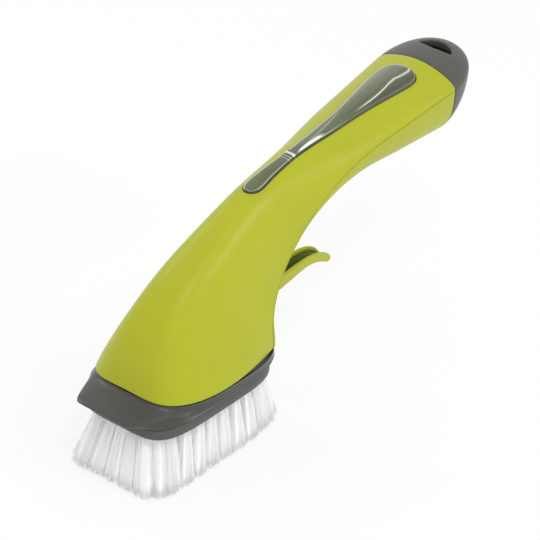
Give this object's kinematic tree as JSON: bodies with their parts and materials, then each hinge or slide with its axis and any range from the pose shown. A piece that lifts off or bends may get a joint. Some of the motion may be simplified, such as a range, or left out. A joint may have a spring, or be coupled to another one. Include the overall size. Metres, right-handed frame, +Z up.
{
  "type": "soap-dispensing dish brush",
  "caption": "Dish wand: arched hollow handle that holds soap, long oval brush head with a scraper lip, squeeze lever under the grip and a pull-off end cap with a hanging hole.",
  "frame": {"origin": "under the middle of the length, level with the bristle tips", "axes": "+X from the scraper lip to the end cap, +Z up from the bristle tips, Y across; the wand is symmetric about Y = 0"},
  "size_m": [0.2426, 0.0588, 0.127],
  "materials": {
    "upper_shell": "satin green",
    "lower_shell": "satin green",
    "soap_window": "clear smoked",
    "soap_tank": "translucent",
    "filler_neck": "moulded",
    "outlet_tube": "soft, milky",
    "head_collar": "satin dark grey",
    "bristle_plate": "satin grey",
    "bristles": "white nylon",
    "valve_plastic": "moulded",
    "plunger_plastic": "moulded",
    "seal_rubber": "smooth",
    "spring_steel": "drawn wire",
    "pin_steel": "ground",
    "screw_steel": "plated",
    "trigger_lever": "satin green",
    "mechanism_frame": "moulded",
    "end_cap": "satin grey",
    "cap_plug": "moulded"
  },
  "bodies": {
    "wand": {"upper_shell": "upper_shell", "lower_shell": "lower_shell", "soap_window": "soap_window", "soap_tank": "soap_tank", "filler_neck": "filler_neck", "outlet_tube": "outlet_tube", "head_collar": "head_collar", "bristle_plate": "bristle_plate", "front_bristles": "bristles", "middle_bristles": "bristles", "rear_bristles": "bristles", "valve_housing": "valve_plastic", "outlet_nozzle": "valve_plastic", "stem_seal_ring": "seal_rubber", "valve_spring": "spring_steel", "lever_pin": "pin_steel", "pin_retainers": "pin_steel", "mechanism_frame": "mechanism_frame", "frame_screws": "screw_steel"},
    "trigger": {"trigger_lever": "trigger_lever"},
    "plunger": {"valve_plunger": "plunger_plastic", "valve_disc": "seal_rubber"},
    "cap": {"end_cap": "end_cap", "cap_plug": "cap_plug", "cap_seal_ring": "seal_rubber"}
  },
  "joints": [
    {"name": "trigger_press", "type": "hinge", "parent": "wand", "child": "trigger", "pos_m": [-0.0391, 0, 0.0495], "axis": [0, -1, 0], "range_deg": [0, 9], "stiffness_Nm_per_rad": 0.25, "springref_deg": -3.44},
    {"name": "plunger_slide", "type": "slide", "parent": "wand", "child": "plunger", "axis": [0, 0, -1], "range_m": [0, 0.0028], "deforming": ["valve_spring"]},
    {"name": "cap_pull", "type": "slide", "parent": "wand", "child": "cap", "axis": [0.9986, 0, 0.0523], "range_m": [0, 0.02]}
  ],
  "couplings": [
    {"joint": "plunger_slide", "follows": "trigger_press", "m_per_rad": 0.017}
  ]
}
